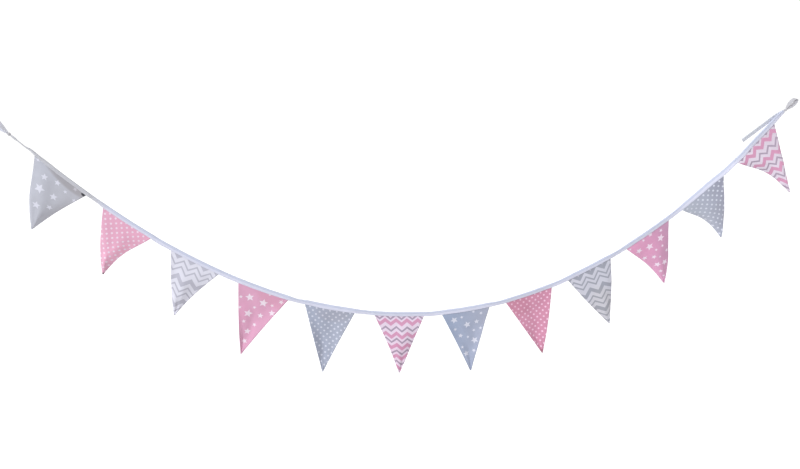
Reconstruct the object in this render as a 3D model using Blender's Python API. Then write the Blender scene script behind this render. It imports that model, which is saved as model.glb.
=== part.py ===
"""Fabric bunting: twelve cloth pennants sewn into a folded tape that hangs in a catenary.

Metres, +Z up, +X along the span. The origin is where the left loop hangs, at the inside of its bend.
"""

import math

import bmesh
import bpy
from mathutils import Vector

# The curve of the tape's middle line
CATENARY = 1.068
LOW_X = 1.128
LOW_Z = -0.651
LOW_AT = 1.300
LEFT_END = -0.0035
RIGHT_END = 2.503

# The folded tape
TAPE_WIDTH = 0.015
LEG = 0.001
FOLD_DROP = 0.0012
ROOF = 0.0015
SLOT_OPEN = 0.00105
SLOT_SHUT = 0.0002
SLOT_MARGIN = 0.004
SLOT_RAMP = 0.010
PINCHED = 0.45
PINCH_RUN = 0.016
KNOT_GAP = 0.0056

# The pennants
CLOTH = 0.0011
TUCK = 0.011
STANDOFF = 0.0015
TIP_WIDTH = 0.003
CELLS_ACROSS = 10
CELLS_DOWN = 12

# One row a pennant: where its left corner lies along the tape, its width, where its tip hangs from
# the middle of its top edge, how far its side edges are drawn in and how late, how they curl
# backwards, and how its middle swells backwards
PENNANTS = [
    # name, print, start, width, tip x, y, z, drawn in left, right, lateness, curl left, right, belly
    ("pennant_01", "grey_star", 0.071, 0.156, -0.118, 0.030, -0.146, -0.008, 0.004, 1.25, 0.002, 0.014, -0.008),
    ("pennant_02", "pink_dot", 0.278, 0.145, -0.110, 0.045, -0.157, -0.006, 0.010, 1.3, 0.000, 0.014, -0.010),
    ("pennant_03", "grey_chevron", 0.485, 0.143, -0.094, 0.035, -0.171, -0.0035, 0.004, 1.2, 0.000, 0.010, -0.006),
    ("pennant_04", "pink_star", 0.688, 0.149, -0.091, 0.000, -0.195, -0.003, 0.002, 1, 0.002, 0.000, 0.008),
    ("pennant_05", "grey_dot", 0.887, 0.148, -0.041, 0.000, -0.208, 0.000, 0.001, 1, -0.003, 0.002, 0.009),
    ("pennant_06", "pink_chevron", 1.095, 0.149, -0.010, 0.010, -0.201, 0.003, 0.000, 1, 0.001, 0.000, -0.007),
    ("pennant_07", "grey_star", 1.300, 0.146, 0.011, 0.000, -0.209, 0.001, 0.001, 1, 0.002, -0.002, 0.006),
    ("pennant_08", "pink_dot", 1.499, 0.147, 0.047, 0.000, -0.207, 0.000, -0.0025, 1, 0.000, -0.002, 0.008),
    ("pennant_09", "grey_chevron", 1.700, 0.144, 0.082, 0.015, -0.200, -0.002, -0.005, 1, 0.002, 0.002, -0.006),
    ("pennant_10", "pink_star", 1.900, 0.150, 0.086, 0.030, -0.181, 0.009, -0.0075, 1.3, 0.014, 0.002, -0.008),
    ("pennant_11", "grey_dot", 2.100, 0.151, 0.108, 0.040, -0.166, 0.0165, -0.008, 1.3, 0.018, 0.004, -0.010),
    ("pennant_12", "pink_chevron", 2.308, 0.147, 0.112, -0.030, -0.155, 0.019, 0.000, 1.35, 0.024, 0.000, -0.006),
]

# How far the tape is turned about its own length, in degrees, and lifted, at places along it
TURNS = [
    # along the tape, turn, lift
    (LEFT_END, 50.0, 0.000),
    (0.012, 52.0, 0.0008),
    (0.022, 64.0, 0.0010),
    (0.042, 64.0, 0.0014),
    (0.058, 52.0, 0.0042),
    (0.080, 46.0, 0.0032),
    (0.110, 40.0, 0.0034),
    (0.180, 39.0, 0.0037),
    (0.250, 33.0, 0.0034),
    (0.300, 26.0, 0.0028),
    (0.410, 25.0, 0.0026),
    (0.450, 7.0, 0.0005),
    (0.500, 18.0, 0.0016),
    (0.610, 17.0, 0.0015),
    (0.655, 3.0, 0.0003),
    (0.710, 12.0, 0.0008),
    (0.815, 15.0, 0.0002),
    (0.860, 25.0, -0.0012),
    (0.900, 14.0, 0.0015),
    (0.950, 0.0, 0.0014),
    (1.005, 8.0, 0.0023),
    (1.060, 19.0, 0.0017),
    (1.210, 18.0, 0.0021),
    (1.270, 12.0, 0.0002),
    (1.330, 7.0, 0.0020),
    (1.436, 9.0, 0.0020),
    (1.474, 20.0, 0.0000),
    (1.530, 20.0, 0.0014),
    (1.620, 19.0, 0.0014),
    (1.670, 12.0, -0.0002),
    (1.730, 12.0, 0.0023),
    (1.820, 13.0, 0.0020),
    (1.870, 17.0, -0.0004),
    (1.930, 15.0, 0.0012),
    (2.020, 14.0, 0.0010),
    (2.075, 8.0, -0.0002),
    (2.130, -8.0, 0.0012),
    (2.200, -17.0, 0.0013),
    (2.275, -24.0, -0.0030),
    (2.322, -4.0, -0.0026),
    (2.380, 8.0, 0.0006),
    (2.452, 9.0, 0.0006),
    (2.486, 21.0, -0.0006),
    (RIGHT_END, 20.0, -0.0025),
]

# The hanging loops at the two ends
LOOPS = [
    # name, knot name, end of the tape, direction in degrees, length, width, neck, turn in degrees
    ("left_loop", "left_knot", LEFT_END, 130.6, 0.0432, 0.0190, 4.0, -30.0),
    ("right_loop", "right_knot", RIGHT_END, 44.0, 0.0387, 0.0135, 1.0, 12.0),
]
LOOP_TAPE = 0.0115
LOOP_THICK = 0.002
LOOP_PRESSED = 0.0014
LOOP_STEPS = 28
LOOP_START = 0.52
LOOP_CLEAR = 0.0002
KNOT_HALF = (0.0050, 0.0044, 0.0042)

# The free end of the right-hand tape
TAIL_LENGTH = 0.1395
TAIL_THICK = 0.002
TAIL_START = 0.003
TAIL_BEHIND = 0.0050
TAIL_STANDS_OFF = 0.0018
TAIL_OFF_BY = 0.14
TAIL_RISE_START = -0.003
TAIL_RISE_END = 0.0275
TAIL_ARCH = 0.85
TAIL_TURN = -20.0
TAIL_TURN_FROM = 0.03
TAIL_TURN_TO = 0.27
TAIL_STEPS = 30

# Base colour and roughness of each cloth
COLOURS = {
    "tape": ((0.86, 0.87, 0.93, 1.0), 0.85),
    "grey_star": ((0.55, 0.56, 0.64, 1.0), 0.9),
    "pink_dot": ((0.88, 0.52, 0.66, 1.0), 0.9),
    "grey_chevron": ((0.74, 0.75, 0.80, 1.0), 0.9),
    "pink_star": ((0.86, 0.48, 0.63, 1.0), 0.9),
    "grey_dot": ((0.56, 0.57, 0.65, 1.0), 0.9),
    "pink_chevron": ((0.88, 0.60, 0.72, 1.0), 0.9),
}


def clear_scene():
    for old in list(bpy.data.objects):
        bpy.data.objects.remove(old, do_unlink=True)


def cloth_material(name):
    colour, roughness = COLOURS[name]
    made = bpy.data.materials.get(name)
    if made:
        return made
    made = bpy.data.materials.new(name)
    made.use_nodes = True
    shader = made.node_tree.nodes["Principled BSDF"]
    shader.inputs["Base Color"].default_value = colour
    shader.inputs["Roughness"].default_value = roughness
    shader.inputs["Metallic"].default_value = 0.0
    return made


def smooth_step(t):
    t = min(max(t, 0.0), 1.0)
    return t * t * (3.0 - 2.0 * t)


def middle_line(along):
    """Point, direction and upward normal of the tape's middle line, in the plane Y = 0."""
    run = along - LOW_AT
    reach = math.hypot(CATENARY, run)
    point = Vector((LOW_X + CATENARY * math.asinh(run / CATENARY), 0.0, LOW_Z + reach - CATENARY))
    forward = Vector((CATENARY / reach, 0.0, run / reach))
    up = Vector((-forward.z, 0.0, forward.x))
    return point, forward, up


def turn_at(along):
    """How far the tape is turned and lifted there, eased between the rows of its table."""
    for (near, turn_near, lift_near), (far, turn_far, lift_far) in zip(TURNS, TURNS[1:]):
        if along <= far:
            share = smooth_step((along - near) / (far - near))
            turn = turn_near + (turn_far - turn_near) * share
            return math.radians(turn), lift_near + (lift_far - lift_near) * share
    return 0.0, 0.0


def tape_frame(along):
    """Middle point, upward and backward directions of the tape where it may be turned."""
    point, _, up = middle_line(along)
    back = Vector((0.0, 1.0, 0.0))
    turn, lift = turn_at(along)
    tape_up = math.cos(turn) * up - math.sin(turn) * back
    tape_back = math.sin(turn) * up + math.cos(turn) * back
    return point + up * lift, tape_up, tape_back


def slot_half(along):
    """Half the gap between the two legs: open at a pennant, pressed shut between pennants."""
    opening = 0.0
    for row in PENNANTS:
        low = row[2] - SLOT_MARGIN
        high = row[2] + row[3] + SLOT_MARGIN
        away = max(low - along, along - high, 0.0)
        opening = max(opening, 1.0 - away / SLOT_RAMP)
    return SLOT_SHUT + (SLOT_OPEN - SLOT_SHUT) * max(opening, 0.0)


def tape_half_width(along):
    near_end = min(along - LEFT_END, RIGHT_END - along)
    return TAPE_WIDTH / 2.0 * (PINCHED + (1.0 - PINCHED) * smooth_step(near_end / PINCH_RUN))


def add_object(name, mesh_bm, material, smooth_angle=None):
    mesh = bpy.data.meshes.new(name)
    mesh_bm.normal_update()
    bmesh.ops.recalc_face_normals(mesh_bm, faces=mesh_bm.faces)
    mesh_bm.to_mesh(mesh)
    mesh_bm.free()
    made = bpy.data.objects.new(name, mesh)
    made.data.materials.append(cloth_material(material))
    bpy.context.scene.collection.objects.link(made)
    if smooth_angle is not None:
        mesh.shade_smooth()
        mesh.set_sharp_from_angle(angle=math.radians(smooth_angle))
    return made


def sweep(name, rings, material):
    """A closed solid through equal rings of points, capped at both ends."""
    strip = bmesh.new()
    verts = [[strip.verts.new(point) for point in ring] for ring in rings]
    count = len(rings[0])
    for near, far in zip(verts, verts[1:]):
        for k in range(count):
            following = (k + 1) % count
            strip.faces.new((near[k], near[following], far[following], far[k]))
    caps = [strip.faces.new(verts[0][::-1]), strip.faces.new(verts[-1])]
    bmesh.ops.triangulate(strip, faces=caps)
    return add_object(name, strip, material, 40)


def tape_ring(along):
    """The folded section: down the front leg, over the fold, and back up inside the slot."""
    point, up, back = tape_frame(along)
    half = tape_half_width(along)
    inner = slot_half(along)
    outer = inner + LEG
    profile = [
        (-outer, -half),
        (-outer, half - FOLD_DROP),
        (-outer / 2.0, half),
        (outer / 2.0, half),
        (outer, half - FOLD_DROP),
        (outer, -half),
        (inner, -half),
        (inner, half - ROOF),
        (-inner, half - ROOF),
        (-inner, -half),
    ]
    return [point + depth * back + height * up for depth, height in profile]


def tape_stations():
    """Places along the tape: close together at each slot's ramps, in the turned stretch and ends."""
    first = LEFT_END + KNOT_GAP
    last = RIGHT_END - KNOT_GAP
    places = {first, last}
    for step in range(1, 9):
        places.add(first + step * 0.008)
    for row in PENNANTS:
        low = row[2] - SLOT_MARGIN
        high = row[2] + row[3] + SLOT_MARGIN
        places.update((low - SLOT_RAMP, low, high, high + SLOT_RAMP))
        for step in range(CELLS_ACROSS + 1):
            places.add(row[2] + row[3] * step / CELLS_ACROSS)
    for here, after in zip(PENNANTS, PENNANTS[1:]):
        places.add((here[2] + here[3] + after[2]) / 2.0)
    for step in range(1, 4):
        places.add(last - step * 0.006)
    ordered = []
    for place in sorted(places):
        inside = first <= place <= last
        if inside and (not ordered or place - ordered[-1] > 0.002):
            ordered.append(place)
    return ordered


def make_binding():
    return sweep("binding", [tape_ring(along) for along in tape_stations()], "tape")


def drawn_in(corner, tip, inward):
    """Level direction square to a side edge, towards the middle of its pennant."""
    chord = tip - corner
    return Vector((-chord.z, 0.0, chord.x)).normalized() * inward


def pennant_point(row, across, drop):
    """A point of the cloth: drop is 0 where it leaves the tape and 1 at the tip."""
    start, width, tip_x, tip_y, tip_z, in_left, in_right, late, curl_left, curl_right, belly = row[2:]
    point, up, _ = tape_frame(start + width * across)
    below = TAPE_WIDTH / 2.0 + STANDOFF
    if drop <= 0.0:
        return point + up * ((TUCK + STANDOFF) * -drop - below)
    middle = middle_line(start + width / 2.0)[0]
    tip = middle + Vector((tip_x, tip_y, tip_z))
    left_in = drawn_in(middle_line(start)[0], tip, in_left) * (1.0 - across)
    right_in = drawn_in(middle_line(start + width)[0], tip, -in_right) * across
    depth = curl_left * (1.0 - across) ** 2 + curl_right * across ** 2
    depth = depth + belly * 4.0 * across * (1.0 - across)
    wave = math.sin(math.pi * drop ** late)
    blunt = Vector(((across - 0.5) * TIP_WIDTH, 0.0, 0.0))
    straight = (point - up * below).lerp(tip + blunt, drop)
    return straight + (left_in + right_in) * wave + Vector((0.0, depth * wave, 0.0))


def make_pennant(row):
    """A triangle of cloth: a grid laid on the hanging surface, then given its thickness."""
    sheet = bmesh.new()
    rows = CELLS_DOWN + 1
    bmesh.ops.create_grid(sheet, x_segments=CELLS_ACROSS, y_segments=rows, size=1.0)
    for vert in sheet.verts:
        across = (vert.co.x + 1.0) / 2.0
        step = round((1.0 - vert.co.y) / 2.0 * rows) - 1
        vert.co = pennant_point(row, across, step / CELLS_DOWN if step > 0 else float(step))
    made = add_object(row[0], sheet, row[1], 40)
    wall = made.modifiers.new("thickness", "SOLIDIFY")
    wall.thickness = CLOTH
    wall.offset = 0.0
    wall.use_even_offset = True
    wall.use_rim = True
    return made


def loop_frame(loop):
    """Middle of the knot, then the loop's long, side and wide directions: it is turned about the first."""
    direction, turned = math.radians(loop[3]), math.radians(loop[7])
    along = Vector((math.cos(direction), 0.0, math.sin(direction)))
    upright = Vector((-along.z, 0.0, along.x))
    back = Vector((0.0, 1.0, 0.0))
    side = upright * math.cos(turned) - back * math.sin(turned)
    wide = back * math.cos(turned) + upright * math.sin(turned)
    return tape_frame(loop[2])[0], along, side, wide


def loop_line(loop, angle):
    """A drop shape: its two strands lie together at the knot and part towards the round far end."""
    start, along, side, _ = loop_frame(loop)
    length, width, neck = loop[4:7]
    fullest_at = (neck + 1.0) / (neck + 2.0)
    fullest = 2.0 * fullest_at ** ((neck + 1.0) / 2.0) * (1.0 - fullest_at) ** 0.5
    reach = KNOT_HALF[0] + LOOP_CLEAR + length * (math.cos(LOOP_START) - math.cos(angle)) / 2.0
    spread = width / 2.0 * math.sin(angle) * math.sin(angle / 2.0) ** neck / fullest
    spread = spread + LOOP_PRESSED * math.cos(angle / 2.0)
    return start + along * reach + side * spread


def make_loop(loop):
    """A strip bent into that drop shape, narrow at the knot and full width beyond."""
    wide_way = loop_frame(loop)[3]
    rings = []
    for step in range(LOOP_STEPS + 1):
        angle = LOOP_START + (2.0 * math.pi - 2.0 * LOOP_START) * step / LOOP_STEPS
        share = math.sin(angle / 2.0) ** 2
        point = loop_line(loop, angle)
        ahead = (loop_line(loop, angle + 0.01) - loop_line(loop, angle - 0.01)).normalized()
        thick = ahead.cross(wide_way) * LOOP_THICK / 2.0
        wide = wide_way * LOOP_TAPE / 2.0 * (PINCHED + (1.0 - PINCHED) * smooth_step(share * 2.0))
        rings.append([point - wide - thick, point + wide - thick, point + wide + thick, point - wide + thick])
    return sweep(loop[0], rings, "tape")


def make_knot(loop):
    """A firm round lump of tape, with two shallow creases where its turns cross."""
    start, along, side, wide = loop_frame(loop)
    lump = bmesh.new()
    bmesh.ops.create_icosphere(lump, subdivisions=3, radius=1.0)
    for vert in lump.verts:
        ball = vert.co.copy()
        crease = 1.0 - 0.10 * math.exp(-((ball.x - 0.5 * ball.z) / 0.16) ** 2)
        squash = (1.0 - 0.10 * ball.x * ball.x) * crease
        placed = start + along * (ball.x * KNOT_HALF[0])
        placed = placed + wide * (ball.y * KNOT_HALF[1] * squash)
        vert.co = placed + side * (ball.z * KNOT_HALF[2] * squash)
    return add_object(loop[1], lump, "tape", 60)


def tail_ring(share):
    """The free end: it leaves the knot behind the tape, tips forward and rises above it."""
    along = RIGHT_END - TAIL_START - TAIL_LENGTH * share
    point, _, up = middle_line(along)
    rise = TAIL_RISE_START + (TAIL_RISE_END - TAIL_RISE_START) * share ** TAIL_ARCH
    turned = smooth_step((share - TAIL_TURN_FROM) / (TAIL_TURN_TO - TAIL_TURN_FROM))
    turn = math.radians(TAIL_TURN) * turned
    back = Vector((0.0, 1.0, 0.0))
    wide = up * math.cos(turn) + back * math.sin(turn)
    flat = back * math.cos(turn) - up * math.sin(turn)
    behind = TAIL_BEHIND + TAIL_STANDS_OFF * smooth_step(share / TAIL_OFF_BY)
    place = point + up * rise + back * behind
    pinch = PINCHED + (1.0 - PINCHED) * smooth_step(share / 0.30)
    wide = wide * TAPE_WIDTH / 2.0 * pinch
    flat = flat * TAIL_THICK / 2.0
    return [place - wide - flat, place + wide - flat, place + wide + flat, place - wide + flat]


def make_tail():
    rings = [tail_ring(step / TAIL_STEPS) for step in range(TAIL_STEPS + 1)]
    return sweep("right_tail", rings, "tape")


def main():
    clear_scene()
    make_binding()
    for row in PENNANTS:
        make_pennant(row)
    for loop in LOOPS:
        make_loop(loop)
        make_knot(loop)
    make_tail()


main()
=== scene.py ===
# %% [markdown]
# # A fabric bunting, dressed on its frame
# Twelve double cotton pennants hang from a folded white tape that ends in two knotted loops.
# The frame holds the plain solids of every piece at their real size. This lesson lays a finer
# cloth over each of them, with its print, its seams and its stitches, and lights it softly.

# %% Load the frame
import math

import bmesh
import bpy
from mathutils import Matrix, Vector


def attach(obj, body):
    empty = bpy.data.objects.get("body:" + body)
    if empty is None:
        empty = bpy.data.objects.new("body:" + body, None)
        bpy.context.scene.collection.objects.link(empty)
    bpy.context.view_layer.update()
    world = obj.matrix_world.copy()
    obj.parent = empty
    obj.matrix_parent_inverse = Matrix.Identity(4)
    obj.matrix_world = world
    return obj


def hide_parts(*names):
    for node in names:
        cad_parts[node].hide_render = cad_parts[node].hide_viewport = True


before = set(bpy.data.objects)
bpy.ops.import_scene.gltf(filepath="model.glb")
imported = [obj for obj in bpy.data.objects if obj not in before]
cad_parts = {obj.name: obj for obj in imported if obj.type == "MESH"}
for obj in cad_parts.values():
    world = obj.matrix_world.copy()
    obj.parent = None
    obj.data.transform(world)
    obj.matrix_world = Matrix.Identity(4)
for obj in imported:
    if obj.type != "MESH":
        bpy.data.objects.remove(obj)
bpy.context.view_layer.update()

# %% [markdown]
# ## Camera
# The string is seen from close by with a wide lens, from a little above the level of its ends and
# looking down, so the pennants in the middle look larger. The place and the three turns were
# worked out from the outline of the string. The lens is given for a sensor 36 mm wide.

# %% Camera
CAMERA_AT = Vector((0.8491, -1.6393, 0.1327))
VIEW_TURN = -5.7095
VIEW_DOWN = -17.6355
VIEW_ROLL = 3.2080
LENS = 27.0
SENSOR_WIDTH = 36.0
SEES_AS_FAR_AS = 60.0

turn = Matrix.Rotation(math.radians(VIEW_TURN), 4, "Z")
down = Matrix.Rotation(math.radians(VIEW_DOWN), 4, "X")
roll = Matrix.Rotation(math.radians(VIEW_ROLL), 4, "Y")
upright = Matrix.Rotation(math.radians(90.0), 4, "X")
camera_data = bpy.data.cameras.new("camera")
camera_data.lens = LENS
camera_data.sensor_width = SENSOR_WIDTH
camera_data.clip_end = SEES_AS_FAR_AS
camera = bpy.data.objects.new("camera", camera_data)
camera.matrix_world = Matrix.Translation(CAMERA_AT) @ turn @ down @ roll @ upright
bpy.context.scene.collection.objects.link(camera)
bpy.context.scene.camera = camera
print("camera", [round(value, 3) for value in camera.location], "lens", camera_data.lens)

# %% [markdown]
# ## The surround and the floor
# White cloth needs a soft, nearly even light. The surround is white behind the string and dimmer
# in front of it. The floor is pale paper that glows behind the string, so that both read as
# plain white there.

# %% The surround and the floor
FLOOR_Z = -2.3
FLOOR_HALF = 14.0
FLOOR_PALE = 0.6
FLOOR_GLOW = 0.62
GLOW_FROM = 0.0
GLOW_TO = 0.8
SURROUND_FRONT = 0.56
SURROUND_BEHIND = 1.06

scene = bpy.context.scene
scene.view_settings.view_transform = "Standard"


def ramp(tree, value, low, high, start, end):
    """A value that eases from start to end while another goes from low to high."""
    node = tree.nodes.new("ShaderNodeMapRange")
    node.interpolation_type = "SMOOTHSTEP"
    tree.links.new(value, node.inputs["Value"])
    for name, number in (("From Min", low), ("From Max", high), ("To Min", start), ("To Max", end)):
        node.inputs[name].default_value = number
    return node.outputs[0]


def separate_y(tree, output_name):
    place = tree.nodes.new("ShaderNodeTexCoord")
    parts = tree.nodes.new("ShaderNodeSeparateXYZ")
    tree.links.new(place.outputs[output_name], parts.inputs[0])
    return parts.outputs[1]


world = bpy.data.worlds.new("surround")
world.use_nodes = True
surround = world.node_tree.nodes["Background"]
surround.inputs["Color"].default_value = (1.0, 1.0, 1.0, 1.0)
world.node_tree.links.new(
    ramp(world.node_tree, separate_y(world.node_tree, "Generated"),
         0.0, 0.5, SURROUND_FRONT, SURROUND_BEHIND),
    surround.inputs["Strength"])
scene.world = world

floor_bm = bmesh.new()
bmesh.ops.create_grid(floor_bm, x_segments=1, y_segments=1, size=FLOOR_HALF)
bmesh.ops.translate(floor_bm, verts=floor_bm.verts, vec=(0.0, 0.0, FLOOR_Z))
floor_mesh = bpy.data.meshes.new("floor")
floor_bm.to_mesh(floor_mesh)
floor_bm.free()
floor = bpy.data.objects.new("floor", floor_mesh)
scene.collection.objects.link(floor)
floor_paper = bpy.data.materials.new("floor_paper")
floor_paper.use_nodes = True
paper = floor_paper.node_tree.nodes["Principled BSDF"]
paper.inputs["Base Color"].default_value = (FLOOR_PALE, FLOOR_PALE, FLOOR_PALE, 1.0)
paper.inputs["Roughness"].default_value = 0.9
paper.inputs["Emission Color"].default_value = (1.0, 1.0, 1.0, 1.0)
floor_paper.node_tree.links.new(
    ramp(floor_paper.node_tree, separate_y(floor_paper.node_tree, "Object"),
         GLOW_FROM, GLOW_TO, 0.0, FLOOR_GLOW),
    paper.inputs["Emission Strength"])
floor_mesh.materials.append(floor_paper)
print("floor at", FLOOR_Z, "m, surround", SURROUND_FRONT, "in front and", SURROUND_BEHIND, "behind")

# %% [markdown]
# ## The lamp
# One large soft lamp shines from the upper left, in front of the string. It is a little cool and
# gives the gentle shade that shows the curls of the cloth.

# %% The lamp
SUN_STRENGTH = 1.84
SUN_SPREAD = 32.0
SUN_COLOUR = (0.92, 0.96, 1.0)
SUN_TRAVELS = Vector((0.60, 0.64, -0.48))

sun_data = bpy.data.lights.new("soft_lamp", "SUN")
sun_data.energy = SUN_STRENGTH
sun_data.angle = math.radians(SUN_SPREAD)
sun_data.color = SUN_COLOUR
sun = bpy.data.objects.new("soft_lamp", sun_data)
sun.rotation_euler = SUN_TRAVELS.to_track_quat("-Z", "Y").to_euler()
scene.collection.objects.link(sun)
print("lamp strength", sun_data.energy, "spread", SUN_SPREAD, "degrees")

# %% [markdown]
# ## The hanging line
# A flexible tape that holds evenly spaced pennants hangs in a catenary, the curve of a chain.
# Every place on it is given by its length along the tape, measured from the left loop. The same
# few sizes made the solids of the frame, so the finer cloth falls on them.

# %% The hanging line
CATENARY = 1.068
LOW_X = 1.128
LOW_Z = -0.651
LOW_AT = 1.300
LEFT_END = -0.0035
RIGHT_END = 2.503


def middle_line(along):
    run = along - LOW_AT
    reach = math.hypot(CATENARY, run)
    point = Vector((LOW_X + CATENARY * math.asinh(run / CATENARY), 0.0, LOW_Z + reach - CATENARY))
    forward = Vector((CATENARY / reach, 0.0, run / reach))
    return point, forward, Vector((-forward.z, 0.0, forward.x))


print("lowest place of the tape", [round(value, 3) for value in middle_line(LOW_AT)[0]])

# %% [markdown]
# ## How the tape turns
# The tape also turns about its own length: most at the left end, where it shows its edge, and a
# little at each pennant that pulls it. Each row gives a place, the turn there in degrees, with
# the top edge towards the viewer counted as positive, and how far the tape stands above the line.

# %% How the tape turns
TURNS = [
    # along the tape, turn, lift
    (LEFT_END, 50.0, 0.000),
    (0.012, 52.0, 0.0008),
    (0.022, 64.0, 0.0010),
    (0.042, 64.0, 0.0014),
    (0.058, 52.0, 0.0042),
    (0.080, 46.0, 0.0032),
    (0.110, 40.0, 0.0034),
    (0.180, 39.0, 0.0037),
    (0.250, 33.0, 0.0034),
    (0.300, 26.0, 0.0028),
    (0.410, 25.0, 0.0026),
    (0.450, 7.0, 0.0005),
    (0.500, 18.0, 0.0016),
    (0.610, 17.0, 0.0015),
    (0.655, 3.0, 0.0003),
    (0.710, 12.0, 0.0008),
    (0.815, 15.0, 0.0002),
    (0.860, 25.0, -0.0012),
    (0.900, 14.0, 0.0015),
    (0.950, 0.0, 0.0014),
    (1.005, 8.0, 0.0023),
    (1.060, 19.0, 0.0017),
    (1.210, 18.0, 0.0021),
    (1.270, 12.0, 0.0002),
    (1.330, 7.0, 0.0020),
    (1.436, 9.0, 0.0020),
    (1.474, 20.0, 0.0000),
    (1.530, 20.0, 0.0014),
    (1.620, 19.0, 0.0014),
    (1.670, 12.0, -0.0002),
    (1.730, 12.0, 0.0023),
    (1.820, 13.0, 0.0020),
    (1.870, 17.0, -0.0004),
    (1.930, 15.0, 0.0012),
    (2.020, 14.0, 0.0010),
    (2.075, 8.0, -0.0002),
    (2.130, -8.0, 0.0012),
    (2.200, -17.0, 0.0013),
    (2.275, -24.0, -0.0030),
    (2.322, -4.0, -0.0026),
    (2.380, 8.0, 0.0006),
    (2.452, 9.0, 0.0006),
    (2.486, 21.0, -0.0006),
    (RIGHT_END, 20.0, -0.0025),
]
BACK = Vector((0.0, 1.0, 0.0))


def smooth_step(t):
    t = min(max(t, 0.0), 1.0)
    return t * t * (3.0 - 2.0 * t)


def turn_at(along):
    for (near, turn_near, lift_near), (far, turn_far, lift_far) in zip(TURNS, TURNS[1:]):
        if along <= far:
            share = smooth_step((along - near) / (far - near))
            degrees = turn_near + (turn_far - turn_near) * share
            return math.radians(degrees), lift_near + (lift_far - lift_near) * share
    return 0.0, 0.0


def tape_frame(along):
    point, _, up = middle_line(along)
    turned, lift = turn_at(along)
    tape_up = math.cos(turned) * up - math.sin(turned) * BACK
    tape_back = math.sin(turned) * up + math.cos(turned) * BACK
    return point + up * lift, tape_up, tape_back


print("turn at the middle", round(math.degrees(turn_at(LOW_AT)[0]), 1), "degrees")

# %% [markdown]
# ## The pennants' places
# A maker cuts the triangles to one size, about 150 mm wide, and sews them on with a gap of 50 to
# 62 mm. Each row gives where a pennant starts along the tape, how wide it is, where its tip hangs,
# and how its sides and its middle curl. The height of each cut triangle is measured down the
# middle of the hanging cloth. The prints are charted from a line near the tape, a set distance
# above the tip.

# %% The pennants' places
TAPE_WIDTH = 0.015
TUCK = 0.011
STANDOFF = 0.0015
TIP_WIDTH = 0.003
PENNANTS = [
    # name, print, start, width, tip x, y, z, drawn in left, right, lateness, curl left, right, belly
    ("pennant_01", "grey_star", 0.071, 0.156, -0.118, 0.030, -0.146,
     -0.008, 0.004, 1.25, 0.002, 0.014, -0.008),
    ("pennant_02", "pink_dot", 0.278, 0.145, -0.110, 0.045, -0.157,
     -0.006, 0.010, 1.3, 0.000, 0.014, -0.010),
    ("pennant_03", "grey_chevron", 0.485, 0.143, -0.094, 0.035, -0.171,
     -0.0035, 0.004, 1.2, 0.000, 0.010, -0.006),
    ("pennant_04", "pink_star", 0.688, 0.149, -0.091, 0.000, -0.195,
     -0.003, 0.002, 1, 0.002, 0.000, 0.008),
    ("pennant_05", "grey_dot", 0.887, 0.148, -0.041, 0.000, -0.208,
     0.000, 0.001, 1, -0.003, 0.002, 0.009),
    ("pennant_06", "pink_chevron", 1.095, 0.149, -0.010, 0.010, -0.201,
     0.003, 0.000, 1, 0.001, 0.000, -0.007),
    ("pennant_07", "grey_star", 1.300, 0.146, 0.011, 0.000, -0.209,
     0.001, 0.001, 1, 0.002, -0.002, 0.006),
    ("pennant_08", "pink_dot", 1.499, 0.147, 0.047, 0.000, -0.207,
     0.000, -0.0025, 1, 0.000, -0.002, 0.008),
    ("pennant_09", "grey_chevron", 1.700, 0.144, 0.082, 0.015, -0.200,
     -0.002, -0.005, 1, 0.002, 0.002, -0.006),
    ("pennant_10", "pink_star", 1.900, 0.150, 0.086, 0.030, -0.181,
     0.009, -0.0075, 1.3, 0.014, 0.002, -0.008),
    ("pennant_11", "grey_dot", 2.100, 0.151, 0.108, 0.040, -0.166,
     0.0165, -0.008, 1.3, 0.018, 0.004, -0.010),
    ("pennant_12", "pink_chevron", 2.308, 0.147, 0.112, -0.030, -0.155,
     0.019, 0.000, 1.35, 0.024, 0.000, -0.006),
]
CHARTED = [
    0.1881, 0.1893, 0.1897, 0.2071, 0.2040, 0.1931,
    0.2007, 0.2040, 0.2080, 0.1945, 0.1967, 0.1840]
MEASURED_STEPS = 40


def drawn_in(corner, tip, inward):
    chord = tip - corner
    return Vector((-chord.z, 0.0, chord.x)).normalized() * inward


def pennant_point(row, across, drop):
    start, width, tip_x, tip_y, tip_z, in_left, in_right, late, curl_left, curl_right, belly = row[2:]
    point, up, _ = tape_frame(start + width * across)
    below = TAPE_WIDTH / 2.0 + STANDOFF
    if drop <= 0.0:
        return point + up * ((TUCK + STANDOFF) * -drop - below)
    middle = middle_line(start + width / 2.0)[0]
    tip = middle + Vector((tip_x, tip_y, tip_z))
    left_in = drawn_in(middle_line(start)[0], tip, in_left) * (1.0 - across)
    right_in = drawn_in(middle_line(start + width)[0], tip, -in_right) * across
    depth = curl_left * (1.0 - across) ** 2 + curl_right * across ** 2
    depth = depth + belly * 4.0 * across * (1.0 - across)
    wave = math.sin(math.pi * drop ** late)
    blunt = Vector(((across - 0.5) * TIP_WIDTH, 0.0, 0.0))
    straight = (point - up * below).lerp(tip + blunt, drop)
    return straight + (left_in + right_in) * wave + Vector((0.0, depth * wave, 0.0))


def cut_height(row):
    """How long the cloth is down its middle, from the tape to the tip."""
    places = [pennant_point(row, 0.5, step / MEASURED_STEPS) for step in range(MEASURED_STEPS + 1)]
    return sum((after - before).length for before, after in zip(places, places[1:]))


HEIGHTS = [cut_height(row) for row in PENNANTS]


def flat_place(row, height, charted, across, drop):
    """Where that point lies on the cut cloth: from the middle line, and down from the chart's line."""
    if drop <= 0.0:
        return (across - 0.5) * row[3], charted - height + (TUCK + STANDOFF) * drop
    return (across - 0.5) * (row[3] * (1.0 - drop) + TIP_WIDTH * drop), charted - height + drop * height


print(len(PENNANTS), "pennants, heights", [round(height, 4) for height in HEIGHTS])

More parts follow.
